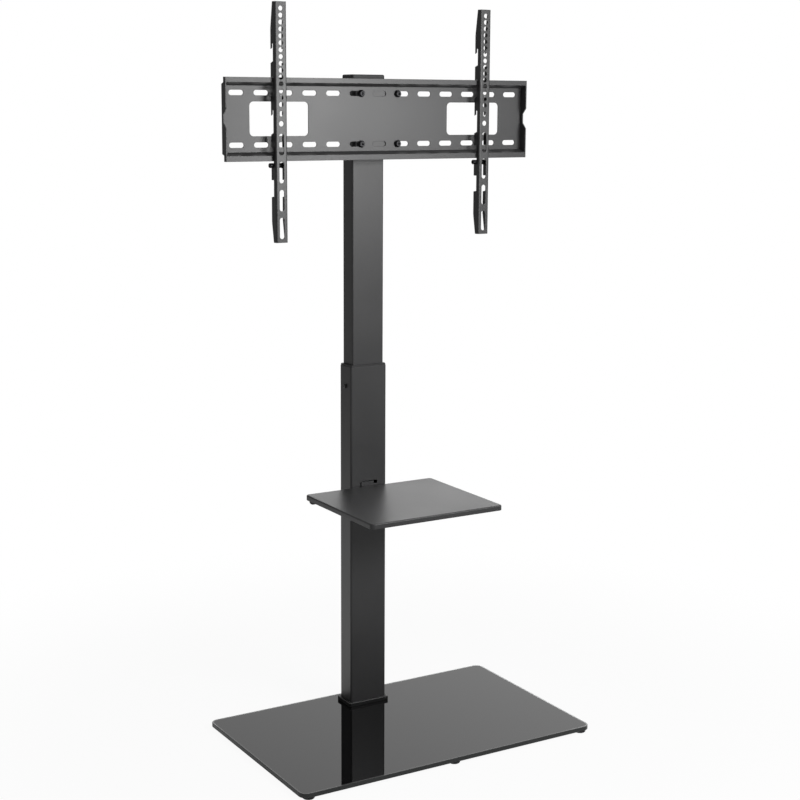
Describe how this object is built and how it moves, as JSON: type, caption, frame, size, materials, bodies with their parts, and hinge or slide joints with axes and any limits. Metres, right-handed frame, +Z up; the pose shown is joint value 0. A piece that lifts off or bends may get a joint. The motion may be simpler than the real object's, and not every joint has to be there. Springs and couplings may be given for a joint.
{
  "type": "tv stand with mount",
  "caption": "Floor television stand: glass base on rubber feet, telescoping steel column with a small shelf, slotted mounting plate and two sliding hook-on arms.",
  "frame": {"origin": "on the floor, under the middle of the glass base", "axes": "+Z up, -Y the front that the television faces, +X to the right as seen from the front"},
  "size_m": [0.6586, 0.402, 1.4087],
  "materials": {
    "black_steel": "satin powder coat",
    "black_glass": "polished, opaque black",
    "black_rubber": "matte",
    "black_plastic": "fine texture",
    "dark_zinc": "black zinc"
  },
  "bodies": {
    "stand": {"base_glass": "black_glass", "foot_discs": "dark_zinc", "base_feet": "black_rubber", "glass_gaskets": "black_rubber", "glass_sleeves": "black_plastic", "under_plate": "black_steel", "base_bolts": "dark_zinc", "base_collar": "black_plastic", "foot_plate": "black_steel", "lower_column": "black_steel", "rear_grommet": "black_rubber", "column_bushing": "black_plastic", "height_inserts": "dark_zinc", "shelf_tray": "black_steel", "shelf_bracket": "black_steel", "shelf_screws": "dark_zinc", "shelf_inserts": "dark_zinc", "tray_nuts": "dark_zinc"},
    "mast": {"upper_column": "black_steel", "column_glide": "black_plastic", "top_cap": "black_plastic", "mast_grommet": "black_rubber", "head_bracket": "black_steel", "mast_bolts": "dark_zinc", "mast_nuts": "dark_zinc", "mount_plate": "black_steel", "plate_bolts": "dark_zinc", "plate_washers": "dark_zinc", "plate_nuts": "dark_zinc"},
    "left_hanger": {"left_arm": "black_steel", "left_safety_nut": "dark_zinc"},
    "right_hanger": {"right_arm": "black_steel", "right_safety_nut": "dark_zinc"},
    "left_safety": {"left_safety_screw": "dark_zinc"},
    "right_safety": {"right_safety_screw": "dark_zinc"},
    "left_clamp": {"left_height_screw": "dark_zinc"},
    "right_clamp": {"right_height_screw": "dark_zinc"}
  },
  "joints": [
    {"name": "height_slide", "type": "slide", "parent": "stand", "child": "mast", "axis": [0, 0, 1], "range_m": [-0.05, 0.06]},
    {"name": "left_arm_slide", "type": "slide", "parent": "mast", "child": "left_hanger", "axis": [1, 0, 0], "range_m": [-0.078, 0.172]},
    {"name": "right_arm_slide", "type": "slide", "parent": "mast", "child": "right_hanger", "axis": [1, 0, 0], "range_m": [-0.172, 0.078]},
    {"name": "left_safety_turn", "type": "hinge", "parent": "left_hanger", "child": "left_safety", "pos_m": [-0.2227, 0.0715, 1.11545], "axis": [-1, 0, 0], "range_deg": [0, 360]},
    {"name": "right_safety_turn", "type": "hinge", "parent": "right_hanger", "child": "right_safety", "pos_m": [0.2227, 0.0715, 1.11545], "axis": [-1, 0, 0], "range_deg": [0, 360]},
    {"name": "left_clamp_turn", "type": "hinge", "parent": "stand", "child": "left_clamp", "pos_m": [-0.038, 0.149, 0.676], "axis": [-1, 0, 0], "range_deg": [0, 360]},
    {"name": "right_clamp_turn", "type": "hinge", "parent": "stand", "child": "right_clamp", "pos_m": [0.038, 0.149, 0.676], "axis": [1, 0, 0], "range_deg": [0, 360]}
  ]
}
